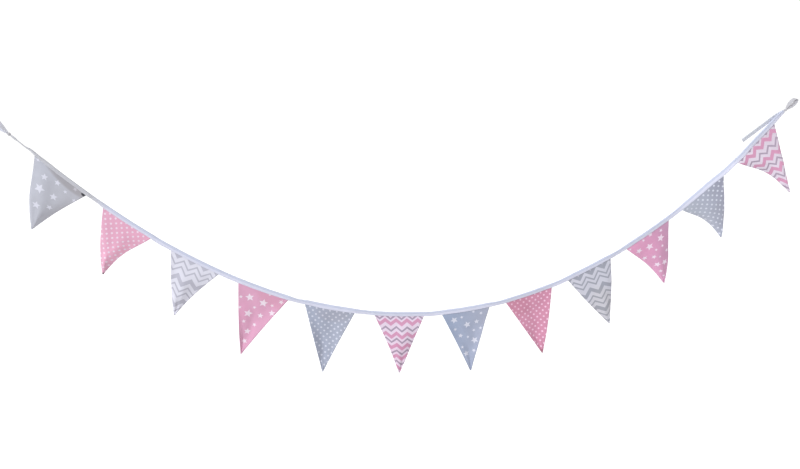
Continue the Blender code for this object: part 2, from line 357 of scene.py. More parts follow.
# %% [markdown]
# ## Node helpers
# The prints are worked out from the cloth's own flat coordinates, which are kept in a UV map in
# metres. One small helper adds a sum to a material's nodes, so that a formula can be written
# almost as on paper.

# %% Node helpers
def maths(tree, operation, *values):
    node = tree.nodes.new("ShaderNodeMath")
    node.operation = operation
    for socket, value in zip(node.inputs, values):
        if isinstance(value, bpy.types.NodeSocket):
            tree.links.new(value, socket)
        else:
            socket.default_value = value
    return node.outputs[0]


def mix_colour(tree, share, first, second, blend="MIX"):
    node = tree.nodes.new("ShaderNodeMix")
    node.data_type = "RGBA"
    node.blend_type = blend
    sockets = (node.inputs[0], node.inputs[6], node.inputs[7])
    for socket, value in zip(sockets, (share, first, second)):
        if isinstance(value, bpy.types.NodeSocket):
            tree.links.new(value, socket)
        else:
            socket.default_value = value
    return node.outputs[2]


def seen(red, green, blue):
    """A colour as it is seen, 0 to 255, made linear."""
    def linear(value):
        share = value / 255.0
        return share / 12.92 if share <= 0.04045 else ((share + 0.055) / 1.055) ** 2.4
    return linear(red), linear(green), linear(blue), 1.0


def kept_between(tree, value, most=1.0):
    """A value held between nothing and the most that it may be."""
    return maths(tree, "MINIMUM", maths(tree, "MAXIMUM", value, 0.0), most)


def soft_edge(tree, inside):
    """Turns a distance in millimetres into paint: none outside, full inside, soft at the edge."""
    return kept_between(tree, maths(tree, "ADD", inside, 0.5))


def cloth_nodes(name):
    """A new cloth material: its nodes, its shader, and its flat coordinates in millimetres."""
    made = bpy.data.materials.new(name)
    made.use_nodes = True
    tree = made.node_tree
    place = tree.nodes.new("ShaderNodeUVMap")
    place.uv_map = "flat"
    parts = tree.nodes.new("ShaderNodeSeparateXYZ")
    tree.links.new(place.outputs[0], parts.inputs[0])
    across = maths(tree, "MULTIPLY", parts.outputs[0], 1000.0)
    down = maths(tree, "MULTIPLY", parts.outputs[1], 1000.0)
    return made, tree, tree.nodes["Principled BSDF"], place.outputs[0], across, down


print("colour check", [round(value, 3) for value in seen(255, 188, 128)])

# %% [markdown]
# ## Woven cotton
# Every cloth here is plain-woven cotton: matt, with a slight fuzz that catches light at a
# grazing angle, a thread pattern under a millimetre, and a faint unevenness of colour. The weave
# is a product of two sine waves, the unevenness is a soft noise.

# %% Woven cotton
THREAD = 0.9
WEAVE_DEPTH = 0.00014
WEAVE_STRENGTH = 0.6
PATCHES_A_METRE = 42.0
PATCH_DETAIL = 4.0
SLUBS_A_METRE = 160.0
SLUB_SHARE = 3.0
ROUGHNESS = 0.88
SHINE = 0.25
FUZZ = 0.25
FUZZ_SPREAD = 0.5
PLAIN_UNEVEN = 0.10
PRINT_UNEVEN = 0.08


def finish_cotton(tree, shader, place, across, down, colour, uneven):
    speckle = tree.nodes.new("ShaderNodeTexNoise")
    speckle.inputs["Scale"].default_value = PATCHES_A_METRE
    speckle.inputs["Detail"].default_value = PATCH_DETAIL
    tree.links.new(place, speckle.inputs["Vector"])
    value = tree.nodes.new("ShaderNodeHueSaturation")
    tree.links.new(maths(tree, "MULTIPLY_ADD", speckle.outputs["Fac"], uneven, 1.0 - uneven / 2.0),
                   value.inputs["Value"])
    tree.links.new(colour, value.inputs["Color"])
    tree.links.new(value.outputs[0], shader.inputs["Base Color"])
    warp = maths(tree, "SINE", maths(tree, "MULTIPLY", across, 2.0 * math.pi / THREAD))
    weft = maths(tree, "SINE", maths(tree, "MULTIPLY", down, 2.0 * math.pi / THREAD))
    threads = maths(tree, "MULTIPLY", warp, weft)
    slub = tree.nodes.new("ShaderNodeTexNoise")
    slub.inputs["Scale"].default_value = SLUBS_A_METRE
    tree.links.new(place, slub.inputs["Vector"])
    bump = tree.nodes.new("ShaderNodeBump")
    bump.inputs["Strength"].default_value = WEAVE_STRENGTH
    bump.inputs["Distance"].default_value = WEAVE_DEPTH
    slubs = maths(tree, "MULTIPLY", slub.outputs["Fac"], SLUB_SHARE)
    tree.links.new(maths(tree, "ADD", threads, slubs), bump.inputs["Height"])
    tree.links.new(bump.outputs[0], shader.inputs["Normal"])
    shader.inputs["Roughness"].default_value = ROUGHNESS
    shader.inputs["Specular IOR Level"].default_value = SHINE
    shader.inputs["Sheen Weight"].default_value = FUZZ
    shader.inputs["Sheen Roughness"].default_value = FUZZ_SPREAD


def plain_cotton(name, colour):
    made, tree, shader, place, across, down = cloth_nodes(name)
    base = tree.nodes.new("ShaderNodeRGB")
    base.outputs[0].default_value = colour
    finish_cotton(tree, shader, place, across, down, base.outputs[0], PLAIN_UNEVEN)
    return made


LEFT_LOOP_CLOTH = plain_cotton("left_loop_cotton", seen(236, 236, 246))
# The right loop and both knots get a grey cloth: painted shade.
PAINTED_SHADE_GREY_CLOTH = plain_cotton("painted_shade_grey_cotton", seen(196, 194, 199))
FREE_END_CLOTH = plain_cotton("free_end_cotton", seen(222, 224, 232))
THREAD_CLOTH = plain_cotton("sewing_thread", seen(232, 233, 240))
print("cotton", LEFT_LOOP_CLOTH.name, PAINTED_SHADE_GREY_CLOTH.name, FREE_END_CLOTH.name, THREAD_CLOTH.name)

# %% [markdown]
# ## The tape's cotton
# The raw edges of a binding tape are folded in, so its lower half is double and whiter, and the
# single cloth along the fold is a little greyer. Its left end, which is turned to show its shaded
# side, is painted greyer: painted shade. The flat coordinates give the place across the tape and
# along it.

# %% The tape's cotton
TAPE_DOUBLE = seen(230, 230, 248)
TAPE_SINGLE = seen(214, 218, 238)
# The grey of the tape's left end is painted shade.
TAPE_PAINTED_SHADE = seen(201, 199, 200)
DOUBLE_FROM = 8.0
DOUBLE_SHARPNESS = 0.7
PAINTED_SHADE_TO = 240.0
PAINTED_SHADE_EASE = 60.0
PAINTED_SHADE_SHARE = 0.75


def make_tape_cloth():
    made, tree, shader, place, across, down = cloth_nodes("tape_cotton")
    lower = maths(tree, "SUBTRACT", maths(tree, "ABSOLUTE", across), DOUBLE_FROM)
    double = kept_between(tree, maths(tree, "MULTIPLY_ADD", lower, DOUBLE_SHARPNESS, 0.5))
    colour = mix_colour(tree, double, TAPE_SINGLE, TAPE_DOUBLE)
    # Painted shade: the first quarter metre of the tape, turned to show its shaded side, is greyed.
    past = maths(tree, "MULTIPLY", maths(tree, "SUBTRACT", down, PAINTED_SHADE_TO), 1.0 / PAINTED_SHADE_EASE)
    painted_shade_colour = mix_colour(tree, PAINTED_SHADE_SHARE, colour, TAPE_PAINTED_SHADE)
    colour = mix_colour(tree, kept_between(tree, past), painted_shade_colour, colour)
    finish_cotton(tree, shader, place, across, down, colour, PLAIN_UNEVEN)
    return made


TAPE_CLOTH = make_tape_cloth()
print("tape", TAPE_CLOTH.name)

# %% [markdown]
# ## Printed stars
# Two of the prints are scattered five-pointed stars of several sizes, each turned its own way.
# A star is drawn by folding the angle about its centre into one tenth of a turn, so that all its
# points fall on one straight edge. The stars that show are listed in millimetres.

# %% Printed stars
STAR_SLOPE = 2.25
STAR_SHARPNESS = 0.4
WHOLE_TURNS = 720.0
FAR_OUTSIDE = -10.0
STARS = {
    "pennant_01": [
        (-30, 31, 9.5, 10), (-25, 66, 14, 40), (3, 23, 8.5, 20), (30, 32, 5.5, 0), (59, 40, 6.5, 30),
        (13, 65, 10.5, 15), (17, 100, 8, 50), (-12, 113, 11, 25), (-66, 5, 6.5, 5), (47, 7, 6.5, 45),
        (-12, -2, 5.5, 60), (-44, 0, 4.5, 20)],
    "pennant_07": [
        (-38, 22, 12, 10), (-14, 15, 5.5, 30), (46, 12, 6, 0), (1, 43, 12, 20), (31, 38, 8.5, 40),
        (-37, 55, 6, 15), (-22, 79, 8, 50), (21, 67, 5.5, 5), (42, 62, 5.5, 35), (1, 86, 5, 25),
        (21, 101, 12, 10), (-20, 118, 5.5, 45), (-9, 142, 10, 30), (16, 135, 6.5, 0), (23, 2, 5.5, 20)],
    "pennant_04": [
        (-30, 29, 13, 10), (12, 32, 13.5, 30), (38, 32, 5.5, 0), (-54, 36, 5.5, 20), (-7, 55, 5.5, 40),
        (45, 55, 10, 15), (58, 12, 8, 50), (-46, 68, 5.5, 5), (-18, 79, 13, 35), (17, 75, 9, 25),
        (-22, 107, 6.5, 10), (10, 109, 6.5, 45), (-3, 135, 10, 30), (-2, 167, 8.5, 0), (20, 0, 4.5, 20)],
    "pennant_10": [
        (-43, 33, 11, 10), (-9, 40, 13, 30), (32, 34, 13, 0), (-18, 6, 5.5, 20), (8, 2, 8, 40),
        (42, 12, 6, 15), (-65, 8, 4.5, 50), (4, 62, 5, 5), (26, 61, 5.5, 35), (-36, 74, 9, 25),
        (-11, 82, 8, 10), (34, 86, 6.5, 45), (6, 92, 4.5, 30), (-9, 116, 10, 0), (14, 120, 11, 20),
        (-5, 145, 6.5, 40), (2, 167, 4.5, 15)],
}


def star_group():
    group = bpy.data.node_groups.new("printed_star", "ShaderNodeTree")
    for name in ("Across", "Down", "Centre Across", "Centre Down", "Radius", "Turn"):
        group.interface.new_socket(name, in_out="INPUT", socket_type="NodeSocketFloat")
    group.interface.new_socket("Inside", in_out="OUTPUT", socket_type="NodeSocketFloat")
    given = group.nodes.new("NodeGroupInput").outputs
    result = group.nodes.new("NodeGroupOutput")
    x = maths(group, "SUBTRACT", given[0], given[2])
    y = maths(group, "SUBTRACT", given[1], given[3])
    angle = maths(group, "ADD", maths(group, "ARCTAN2", x, y), given[5])
    folded = maths(group, "PINGPONG", angle, math.pi / 5.0)
    far = maths(group, "SQRT", maths(group, "MULTIPLY_ADD", x, x, maths(group, "MULTIPLY", y, y)))
    slope = maths(group, "MULTIPLY_ADD", maths(group, "SINE", folded), STAR_SLOPE,
                  maths(group, "COSINE", folded))
    edge = maths(group, "MULTIPLY", far, slope)
    inside = maths(group, "MULTIPLY", maths(group, "SUBTRACT", given[4], edge), STAR_SHARPNESS)
    group.links.new(inside, result.inputs[0])
    return group


STAR = star_group()


def star_print(tree, across, down, stars):
    best = FAR_OUTSIDE
    for centre_across, centre_down, radius, degrees in stars:
        node = tree.nodes.new("ShaderNodeGroup")
        node.node_tree = STAR
        tree.links.new(across, node.inputs[0])
        tree.links.new(down, node.inputs[1])
        node.inputs[2].default_value = centre_across
        node.inputs[3].default_value = centre_down
        node.inputs[4].default_value = radius
        node.inputs[5].default_value = math.radians(degrees + WHOLE_TURNS)
        best = maths(tree, "MAXIMUM", node.outputs[0], best)
    return soft_edge(tree, best)


print("stars", {name: len(rows) for name, rows in STARS.items()})

# %% [markdown]
# ## Printed dots
# Dots stand on a square lattice set at 45 degrees, as on a common dotted cotton. The cloth of
# each pennant is cut a little off the grain, so each row of the table has its own two steps from
# a dot to its neighbours. A place is turned into steps, and its distance to the nearest dot is
# what is left after rounding.

# %% Printed dots
DOT_SHARE = 0.215
DOTS = {
    # step to one neighbour, step to the other, place of one dot, in millimetres
    "pennant_02": ((7.3, 12.3), (-11.0, 9.5), (-2.0, 52.0)),
    "pennant_05": ((10.0, 10.0), (-10.0, 10.1), (-9.0, 71.0)),
    "pennant_08": ((8.2, 11.4), (-10.2, 8.8), (4.0, 48.0)),
    "pennant_11": ((11.3, 12.0), (-8.7, 13.0), (1.0, 31.0)),
}


def dot_print(tree, across, down, lattice):
    (px, py), (qx, qy), (ax, ay) = lattice
    area = px * qy - py * qx
    x = maths(tree, "SUBTRACT", across, ax)
    y = maths(tree, "SUBTRACT", down, ay)
    first = maths(tree, "MULTIPLY_ADD", x, qy / area, maths(tree, "MULTIPLY", y, -qx / area))
    second = maths(tree, "MULTIPLY_ADD", x, -py / area, maths(tree, "MULTIPLY", y, px / area))
    left = [maths(tree, "SUBTRACT", steps, maths(tree, "ROUND", steps)) for steps in (first, second)]
    squares = maths(tree, "MULTIPLY_ADD", left[0], left[0], maths(tree, "MULTIPLY", left[1], left[1]))
    far = maths(tree, "SQRT", squares)
    pitch = math.sqrt(abs(area))
    return soft_edge(tree, maths(tree, "MULTIPLY", maths(tree, "SUBTRACT", DOT_SHARE, far), pitch))


print("dot lattices", sorted(DOTS))

# %% [markdown]
# ## Printed chevrons
# A chevron is a band that zigzags. Folding the place across the cloth back and forth gives the
# zigzag, and adding it to the place down the cloth makes every band a plain interval. The grey
# print has pairs of thin bands between thick ones, the pink one alternates pink and thin grey.

# %% Printed chevrons
CHEVRONS = {
    # one peak, half a wave, height of the zigzag, then each band's place at a peak and thickness
    "pennant_03": (-28.5, 19.7, 21.0, [
        (-17, 16, 1), (9, 6.5, 1), (29, 6.5, 1), (59, 17, 1), (85, 6.5, 1), (104, 6.5, 1),
        (134, 17, 1), (160, 6.5, 1), (179, 6.5, 1)]),
    "pennant_09": (-18.0, 20.2, 20.0, [
        (-10, 16, 1), (14, 6.5, 1), (31, 6.5, 1), (60.5, 15.5, 1), (86, 6.5, 1), (106, 6.5, 1),
        (131, 15.5, 1), (155, 6.5, 1), (178, 6.5, 1)]),
    "pennant_06": (-43.0, 16.5, 14.0, [
        (-7, 7, 2), (10, 13, 1), (33, 7, 2), (54, 13, 1), (72, 7, 2), (92, 13, 1),
        (112, 7, 2), (130, 13, 1), (150, 7, 2), (169, 13, 1), (188, 7, 2)]),
    "pennant_12": (-43.0, 16.3, 15.5, [
        (-15, 7, 2), (5, 14.5, 1), (30, 7, 2), (53, 14.5, 1), (75, 7, 2), (96, 14.5, 1),
        (118, 7, 2), (139, 14, 1), (161, 7, 2)]),
}


def chevron_print(tree, across, down, chart, kind):
    peak, half_wave, height, bands = chart
    zigzag = maths(tree, "PINGPONG", maths(tree, "SUBTRACT", across, peak), half_wave)
    level = maths(tree, "MULTIPLY_ADD", zigzag, -height / half_wave, down)
    best = FAR_OUTSIDE
    for centre, thick, band_kind in bands:
        if band_kind == kind:
            off = maths(tree, "ABSOLUTE", maths(tree, "SUBTRACT", level, centre))
            best = maths(tree, "MAXIMUM", maths(tree, "SUBTRACT", thick / 2.0, off), best)
    return soft_edge(tree, best)


print("chevron bands", {name: len(chart[3]) for name, chart in CHEVRONS.items()})

# %% [markdown]
# ## The colours of the prints
# Each pennant has its own row of colours, and the rows hold painted shade: a pennant that hangs
# in less light gets a darker ground than its twin. The ground colour also shifts a little from one
# side to the other, as painted shade and painted cool light, because the cloths hang at different
# angles to the lamp.

# %% The colours of the prints
GROUNDS = {
    # ground at the left, ground at the right, both with painted shade, print, second print
    "pennant_01": (seen(203, 204, 215), seen(199, 198, 207), seen(234, 233, 245), None),
    "pennant_02": (seen(242, 181, 207), seen(245, 180, 207), seen(255, 228, 243), None),
    "pennant_03": (seen(238, 236, 248), seen(238, 236, 248), seen(201, 199, 213), None),
    "pennant_04": (seen(234, 175, 204), seen(231, 171, 200), seen(251, 234, 245), None),
    "pennant_05": (seen(178, 184, 204), seen(180, 184, 201), seen(222, 224, 238), None),
    "pennant_06": (seen(243, 223, 241), seen(243, 223, 241), seen(224, 160, 194), seen(180, 160, 182)),
    "pennant_07": (seen(166, 178, 204), seen(178, 181, 200), seen(225, 225, 238), None),
    "pennant_08": (seen(221, 152, 179), seen(217, 147, 175), seen(250, 208, 228), None),
    "pennant_09": (seen(218, 216, 228), seen(213, 212, 224), seen(170, 171, 184), None),
    "pennant_10": (seen(244, 171, 208), seen(212, 160, 192), seen(252, 233, 247), None),
    "pennant_11": (seen(200, 205, 220), seen(172, 173, 193), seen(233, 235, 248), None),
    "pennant_12": (seen(241, 228, 242), seen(223, 207, 221), seen(221, 158, 190), seen(180, 162, 181)),
}
print("rows of colours", len(GROUNDS))

# %% [markdown]
# ## Painted shade, painted light and seams
# A few soft tints, each an oval, paint shade where creases, curls and the tape shade the cloth,
# such as under the upper edge and in the turned corner of the first pennant and at the curled tip
# of the second; the few lighter ones are painted light. Both side edges are pressed seams of
# several layers, and the thin darker line along them is painted shade of the rounded seams. Both side
# edges are pressed
# seams of several layers, which show as a thin line of denser cloth.

# %% Painted shade, painted light and seams
PAINTED_SHADE_EDGE = 1.7
SEAM_SHADE_WIDTH = 2.8
SEAM_SHADE_SHARE = 0.6
SEAM_SHADE_TINT = (0.76, 0.74, 0.77, 1.0)
PAINTED_SHADE_OVALS = {
    # middle across and down, reach across and down in millimetres, lean in degrees, share, tint: under
    # one it paints shade, over one it paints light
    "pennant_01": [
        (18, 4, 75, 17, 8, 0.75, (0.70, 0.66, 0.63, 1.0)),
        (71, 5, 7.5, 6, 0, 1.0, (0.13, 0.13, 0.14, 1.0))],
    "pennant_02": [
        (26, 96, 62, 34, -52, 0.9, (1.14, 1.14, 1.14, 1.0)),
        (0, 190, 4, 9, 0, 1.0, (0.30, 0.33, 0.32, 1.0))],
    "pennant_04": [
        (30, 14, 55, 24, 16, 0.6, (0.97, 0.90, 0.88, 1.0)),
        (-38, 90, 22, 60, 0, 0.5, (1.04, 0.93, 0.98, 1.0))],
    "pennant_05": [(10, 12, 60, 30, 0, 0.6, (0.95, 0.90, 0.88, 1.0))],
    "pennant_06": [(0, 140, 50, 80, 0, 0.8, (0.95, 0.88, 0.90, 1.0))],
    "pennant_08": [
        (-38, 20, 45, 40, 30, 0.8, (0.90, 0.84, 0.84, 1.0)),
        (0, 200, 5, 12, 0, 0.9, (0.66, 0.60, 0.56, 1.0))],
    "pennant_09": [(0, 130, 40, 80, 0, 0.8, (1.0, 0.98, 0.93, 1.0))],
    "pennant_10": [
        (12, 40, 50, 40, 0, 0.6, (1.02, 0.94, 0.97, 1.0)),
        (22, 120, 34, 60, 20, 0.45, (0.90, 0.86, 0.88, 1.0))],
    "pennant_11": [(14, 120, 40, 60, 0, 0.6, (0.93, 0.92, 0.92, 1.0))],
    "pennant_12": [
        (40, 95, 8, 80, 18, 0.8, (0.78, 0.74, 0.77, 1.0)),
        (0, 170, 12, 20, 0, 0.6, (0.86, 0.82, 0.85, 1.0))],
}


# Each oval multiplies the colour by its tint: painted shade where the tint is dark, painted light where
# it is above one.
def shade_painted(tree, across, down, colour, shade_ovals):
    for middle_across, middle_down, reach_across, reach_down, lean, share, shade_tint in shade_ovals:
        turned = math.radians(lean)
        x = maths(tree, "SUBTRACT", across, middle_across)
        y = maths(tree, "SUBTRACT", down, middle_down)
        along = maths(tree, "MULTIPLY_ADD", x, math.cos(turned) / reach_across,
                      maths(tree, "MULTIPLY", y, math.sin(turned) / reach_across))
        beside = maths(tree, "MULTIPLY_ADD", y, math.cos(turned) / reach_down,
                       maths(tree, "MULTIPLY", x, -math.sin(turned) / reach_down))
        far = maths(tree, "MULTIPLY_ADD", along, along, maths(tree, "MULTIPLY", beside, beside))
        shade_mask = maths(tree, "MULTIPLY", maths(tree, "SUBTRACT", 1.0, far), PAINTED_SHADE_EDGE * share)
        colour = mix_colour(tree, kept_between(tree, shade_mask, share), colour, shade_tint, "MULTIPLY")
    return colour


def seam_shade(tree, across, down, colour, row, height, charted):
    """Paints shade towards both side edges, over the last few millimetres, where the seams round away.
    """
    width = row[3] * 1000.0
    tall = height * 1000.0
    top = (charted - height) * 1000.0
    narrowing = (width - TIP_WIDTH * 1000.0) / 2.0 / tall
    half = maths(tree, "MULTIPLY_ADD", maths(tree, "SUBTRACT", down, top), -narrowing, width / 2.0)
    inside = maths(tree, "SUBTRACT", half, maths(tree, "ABSOLUTE", across))
    # The darker line along the seams is painted shade.
    line = maths(tree, "MULTIPLY_ADD", inside, -SEAM_SHADE_SHARE / SEAM_SHADE_WIDTH, SEAM_SHADE_SHARE)
    return mix_colour(tree, kept_between(tree, line, SEAM_SHADE_SHARE), colour, SEAM_SHADE_TINT, "MULTIPLY")


print("tinted pennants", len(PAINTED_SHADE_OVALS), "seam line", SEAM_SHADE_WIDTH, "mm")

# %% [markdown]
# ## The printed cloths
# Each pennant gets its own cloth, because its print is cut at its own place. The ground comes
# first, then the print or prints, then the painted shade and light of the ovals and the seams.

# %% The printed cloths
GROUND_SHADE_SPREAD = 120.0


def printed_cloth(row, height, charted):
    name = row[0]
    left, right, ink, second_ink = GROUNDS[name]
    made, tree, shader, place, across, down = cloth_nodes("cloth_" + name[-2:])
    # The ground eases from its left colour to its right one: painted shade and painted light across the
    # cloth.
    share = maths(tree, "MULTIPLY_ADD", across, 1.0 / GROUND_SHADE_SPREAD, 0.5)
    colour = mix_colour(tree, kept_between(tree, share), left, right)
    if name in STARS:
        colour = mix_colour(tree, star_print(tree, across, down, STARS[name]), colour, ink)
    if name in DOTS:
        colour = mix_colour(tree, dot_print(tree, across, down, DOTS[name]), colour, ink)
    if name in CHEVRONS:
        colour = mix_colour(tree, chevron_print(tree, across, down, CHEVRONS[name], 1), colour, ink)
    if second_ink:
        bands = chevron_print(tree, across, down, CHEVRONS[name], 2)
        colour = mix_colour(tree, bands, colour, second_ink)
    colour = shade_painted(tree, across, down, colour, PAINTED_SHADE_OVALS.get(name, []))
    colour = seam_shade(tree, across, down, colour, row, height, charted)
    finish_cotton(tree, shader, place, across, down, colour, PRINT_UNEVEN)
    return made


CLOTHS = {given[0][0]: printed_cloth(*given) for given in zip(PENNANTS, HEIGHTS, CHARTED)}
print("cloths", len(CLOTHS))

# %% [markdown]
# ## A sheet laid on a surface
# Every sheet here starts as a flat grid, which an operator makes. Each point then moves to
# its place in space, keeps its place on the flat cloth in the UV map, and a Solidify modifier
# gives the sheet its thickness.

# %% A sheet laid on a surface
def lay_sheet(name, cells, place, flat, thickness, material, weight=None):
    sheet = bmesh.new()
    bmesh.ops.create_grid(sheet, x_segments=cells[0], y_segments=cells[1], size=1.0)
    cloth_uv = sheet.loops.layers.uv.new("flat")
    for face in sheet.faces:
        for loop in face.loops:
            loop[cloth_uv].uv = flat((loop.vert.co.x + 1.0) / 2.0, (loop.vert.co.y + 1.0) / 2.0)
    weights = []
    sheet.verts.ensure_lookup_table()
    for vert in sheet.verts:
        share = (vert.co.x + 1.0) / 2.0, (vert.co.y + 1.0) / 2.0
        weights.append(weight(*share) if weight else 1.0)
        vert.co = place(*share)
    sheet.normal_update()
    mesh = bpy.data.meshes.new(name)
    sheet.to_mesh(mesh)
    sheet.free()
    made = bpy.data.objects.new(name, mesh)
    bpy.context.scene.collection.objects.link(made)
    mesh.materials.append(material)
    mesh.shade_smooth()
    wall = made.modifiers.new("thickness", "SOLIDIFY")
    wall.thickness = thickness
    wall.offset = 0.0
    wall.use_even_offset = True
    if weight:
        group = made.vertex_groups.new(name="seam")
        for index, value in enumerate(weights):
            group.add([index], value, "REPLACE")
        wall.vertex_group = "seam"
    return made


def settle(piece, slot_name, *nodes):
    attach(piece, "root")
    if nodes:
        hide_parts(*nodes)


print("sheets start as grids of a few hundred to a few thousand faces")

# %% [markdown]
# ## The folded tape
# The binding is one strip of cotton tape, 30 mm wide when flat, folded along its middle over the
# raw tops of the pennants. Its section is a narrow upside-down U: two legs and a half circle. It
# is pressed shut between the pennants and stands open around their cloth.

# %% The folded tape
SLOT_OPEN = 0.00105
SLOT_SHUT = 0.0002
SLOT_MARGIN = 0.004
SLOT_RAMP = 0.010
PINCHED = 0.45
PINCH_RUN = 0.016
KNOT_GAP = 0.0056
TAPE_SKIN = 0.0009
LEG = 0.001
FOLD_SHARE = 0.25
TAPE_CELLS = (440, 20)


def slot_half(along):
    opening = 0.0
    for row in PENNANTS:
        away = max(row[2] - SLOT_MARGIN - along, along - row[2] - row[3] - SLOT_MARGIN, 0.0)
        opening = max(opening, 1.0 - away / SLOT_RAMP)
    return SLOT_SHUT + (SLOT_OPEN - SLOT_SHUT) * max(opening, 0.0)


def folded_section(half, radius, around):
    """Depth and height on the U: around runs from -1, the front lower edge, to 1, the back one."""
    side = 1.0 if around > 0.0 else -1.0
    if abs(around) <= FOLD_SHARE:
        angle = around / FOLD_SHARE * math.pi / 2.0
        return radius * math.sin(angle), half - radius + radius * math.cos(angle)
    run = (abs(around) - FOLD_SHARE) / (1.0 - FOLD_SHARE)
    return side * radius, half - radius - run * (2.0 * half - radius)


def tape_half_width(along):
    near_end = min(along - LEFT_END, RIGHT_END - along)
    return TAPE_WIDTH / 2.0 * (PINCHED + (1.0 - PINCHED) * smooth_step(near_end / PINCH_RUN))


def tape_along(share):
    return LEFT_END + KNOT_GAP + (RIGHT_END - LEFT_END - 2.0 * KNOT_GAP) * share


def tape_place(share, around_share):
    along = tape_along(share)
    around = around_share * 2.0 - 1.0
    point, up, back = tape_frame(along)
    depth, height = folded_section(tape_half_width(along), slot_half(along) + LEG / 2.0, around)
    return point + back * depth + up * height


def tape_flat(share, around_share):
    return (around_share - 0.5) * 2.0 * TAPE_WIDTH, tape_along(share)


binding = lay_sheet("binding_tape", TAPE_CELLS, tape_place, tape_flat, TAPE_SKIN, TAPE_CLOTH)
settle(binding, "tape", "binding")
print("tape", len(binding.data.polygons), "faces")

# %% [markdown]
# ## The stitches
# One row of machine stitches runs near the tape's lower edge, through both legs and the cloth
# between them. A stitch is a short length of thread, pulled in at both ends where it dives: a
# small stretched ball, repeated along the front and the back.

# %% The stitches
STITCH_PITCH = 0.0028
STITCH_HALF = (0.00105, 0.00022, 0.00030)
STITCH_SUNK = 0.4
STITCH_RISE = 0.0022
STITCHES_START = 0.015


def make_stitches():
    row = bmesh.new()
    first = LEFT_END + KNOT_GAP + STITCHES_START
    count = int((RIGHT_END - KNOT_GAP - STITCHES_START - first) / STITCH_PITCH)
    for side in (-1.0, 1.0):
        for number in range(count):
            along = first + STITCH_PITCH * (number + 0.5)
            point, up, back = tape_frame(along)
            forward = up.cross(back)
            face = slot_half(along) + LEG / 2.0 + TAPE_SKIN / 2.0
            depth = side * (face + STITCH_HALF[1] * STITCH_SUNK)
            centre = point + back * depth + up * (STITCH_RISE - tape_half_width(along))
            turned = Matrix((forward, back, up)).transposed().to_4x4()
            sized = Matrix.Diagonal((*STITCH_HALF, 1.0))
            bmesh.ops.create_icosphere(
                row, subdivisions=1, radius=1.0, matrix=Matrix.Translation(centre) @ turned @ sized)
    bmesh.ops.recalc_face_normals(row, faces=row.faces)
    row.loops.layers.uv.new("flat")
    mesh = bpy.data.meshes.new("binding_stitches")
    row.to_mesh(mesh)
    row.free()
    mesh.shade_smooth()
    mesh.materials.append(THREAD_CLOTH)
    made = bpy.data.objects.new("binding_stitches", mesh)
    bpy.context.scene.collection.objects.link(made)
    return made, count * 2


stitches, stitch_count = make_stitches()
settle(stitches, "tape")
print("stitches", stitch_count, "triangles", len(stitches.data.polygons))

# %% [markdown]
# ## The pennants
# A pennant is two triangles of cotton sewn right sides together, turned and pressed, so its two
# side edges hold folded seam allowances and are thicker than its middle. The grid is finer than
# the frame's, and small soft waves are added to its surface.

# %% The pennants
PENNANT_CELLS = (56, 84)
PENNANT_SKIN = 0.0012
SEAM_WIDTH = 0.006
MIDDLE_THIN = 0.6
WAVES_START = 0.2
TUCK_ROWS = 4
WAVES = [
    # depth in metres, waves across, waves down, how much the phase moves from pennant to pennant
    (0.0011, 1.3, 0.8, 1.7),
    (0.0007, 2.1, -1.4, 2.9),
    (0.0004, 0.6, 3.1, 0.8),
]


def pennant_drop(down_share):
    """Rows of the grid: the first few are tucked into the tape, the rest hang below it."""
    step = down_share * PENNANT_CELLS[1]
    if step <= TUCK_ROWS:
        return -(TUCK_ROWS - step) / TUCK_ROWS
    return (step - TUCK_ROWS) / (PENNANT_CELLS[1] - TUCK_ROWS)


def make_pennant(row, height, charted):
    name = row[0]
    number = int(name[-2:])

    def place(across, up_share):
        drop = pennant_drop(1.0 - up_share)
        rounds = [(depth, across * wide + drop * tall, number * step)
                  for depth, wide, tall, step in WAVES]
        wave = sum(depth * math.sin(2.0 * math.pi * turns + phase)
                   for depth, turns, phase in rounds)
        return pennant_point(row, across, drop) + BACK * (wave * smooth_step(drop / WAVES_START))

    def flat(across, up_share):
        return flat_place(row, height, charted, across, pennant_drop(1.0 - up_share))

    def weight(across, up_share):
        drop = max(pennant_drop(1.0 - up_share), 0.0)
        edge = min(across, 1.0 - across) * (row[3] * (1.0 - drop) + TIP_WIDTH * drop)
        return MIDDLE_THIN + (1.0 - MIDDLE_THIN) * (1.0 - smooth_step(edge / SEAM_WIDTH - 0.5))

    made = lay_sheet(name + "_cloth", PENNANT_CELLS, place, flat, PENNANT_SKIN, CLOTHS[name],
                     weight=weight)
    settle(made, row[1], name)
    return made


pennants = [make_pennant(*given) for given in zip(PENNANTS, HEIGHTS, CHARTED)]
print("pennants", len(pennants), "with", len(pennants[0].data.polygons), "faces each before thickness")

# %% [markdown]
# ## The loops
# At each end the tape is turned back on itself and knotted, which leaves a loop to hang it by.
# The strip stays folded. It is narrow where it leaves the knot and opens towards its far end.
# The left loop is turned one way and the right loop the other, so that their insides show.

# %% The loops
LOOPS = [
    # name, knot name, end of the tape, direction in degrees, length, width, neck, turn in degrees
    ("left_loop", "left_knot", LEFT_END, 130.6, 0.0432, 0.0190, 4.0, -30.0),
    ("right_loop", "right_knot", RIGHT_END, 44.0, 0.0387, 0.0135, 1.0, 12.0),
]
LOOP_TAPE = 0.0115
LOOP_THICK = 0.002
LOOP_PRESSED = 0.0014
LOOP_START = 0.52
LOOP_CLEAR = 0.0002
LOOP_SKIN = 0.0008
LOOP_STEP = 0.01
LOOP_WEAVE = 2.4
LOOP_CELLS = (72, 16)
LOOP_CLOTHS = {"left_loop": LEFT_LOOP_CLOTH, "right_loop": PAINTED_SHADE_GREY_CLOTH}
KNOT_HALF = (0.0050, 0.0044, 0.0042)


